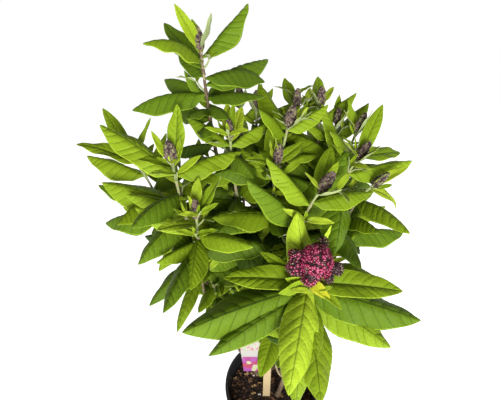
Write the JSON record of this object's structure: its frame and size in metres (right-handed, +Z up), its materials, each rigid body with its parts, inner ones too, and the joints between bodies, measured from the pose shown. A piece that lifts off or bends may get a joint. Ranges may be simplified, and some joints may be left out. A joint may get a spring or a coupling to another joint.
{
  "type": "potted butterfly bush",
  "caption": "Young butterfly bush in a round black nursery pot, with toothed leaves in opposite pairs, dark cone buds, one open crimson flower head and a small label card.",
  "frame": {"origin": "middle of the pot's flat underside", "axes": "+Z up along the pot's axis, -Y towards the side with the open flower, +X to that side's right"},
  "size_m": [0.4237, 0.4169, 0.7423],
  "materials": {
    "pot_plastic": "moulded black polypropylene, slightly glossy on the rim",
    "potting_soil": "moist dark potting soil with bark chips",
    "label_card": "coated card, bare of words",
    "label_wood": "raw flat stick",
    "bark": "young bark, finely grooved, greyish brown",
    "foliage": "green leaves with sunken veins, paler and felted below",
    "bloom_shoot": "green leaves with a crimson flower head at the tip"
  },
  "bodies": {
    "root": {"bough_back_left": "bark", "bough_back_middle": "bark", "bough_back_right": "bark", "bough_centre": "bark", "bough_far_back": "bark", "bough_far_left": "bark", "bough_far_right": "bark", "bough_front_middle": "bark", "bough_high_middle": "bark", "bough_inner_middle": "bark", "bough_inner_right": "bark", "bough_low_front": "bark", "bough_low_left": "bark", "bough_low_left_back": "bark", "bough_low_left_front": "bark", "bough_low_left_side": "bark", "bough_low_middle": "bark", "bough_rear_left": "bark", "bough_rear_middle": "bark", "bough_rear_right": "bark", "bough_right_high": "bark", "bough_right_side": "bark", "label_card": "label_card", "label_stick": "label_wood", "leaves_back_left": "foliage", "leaves_back_middle": "foliage", "leaves_back_right": "foliage", "leaves_centre": "foliage", "leaves_far_back": "foliage", "leaves_far_left": "foliage", "leaves_far_right": "foliage", "leaves_front": "bloom_shoot", "leaves_front_middle": "foliage", "leaves_high_back": "foliage", "leaves_high_middle": "foliage", "leaves_inner_middle": "foliage", "leaves_inner_right": "foliage", "leaves_left": "foliage", "leaves_low_front": "foliage", "leaves_low_left": "foliage", "leaves_low_left_back": "foliage", "leaves_low_left_front": "foliage", "leaves_low_left_side": "foliage", "leaves_low_middle": "foliage", "leaves_middle": "foliage", "leaves_rear_left": "foliage", "leaves_rear_middle": "foliage", "leaves_rear_right": "foliage", "leaves_right": "foliage", "leaves_right_high": "foliage", "leaves_right_side": "foliage", "leaves_tall": "foliage", "pot": "pot_plastic", "soil": "potting_soil", "stem_front": "bark", "stem_high_back": "bark", "stem_left": "bark", "stem_middle": "bark", "stem_right": "bark", "stem_tall": "bark"}
  },
  "joints": []
}
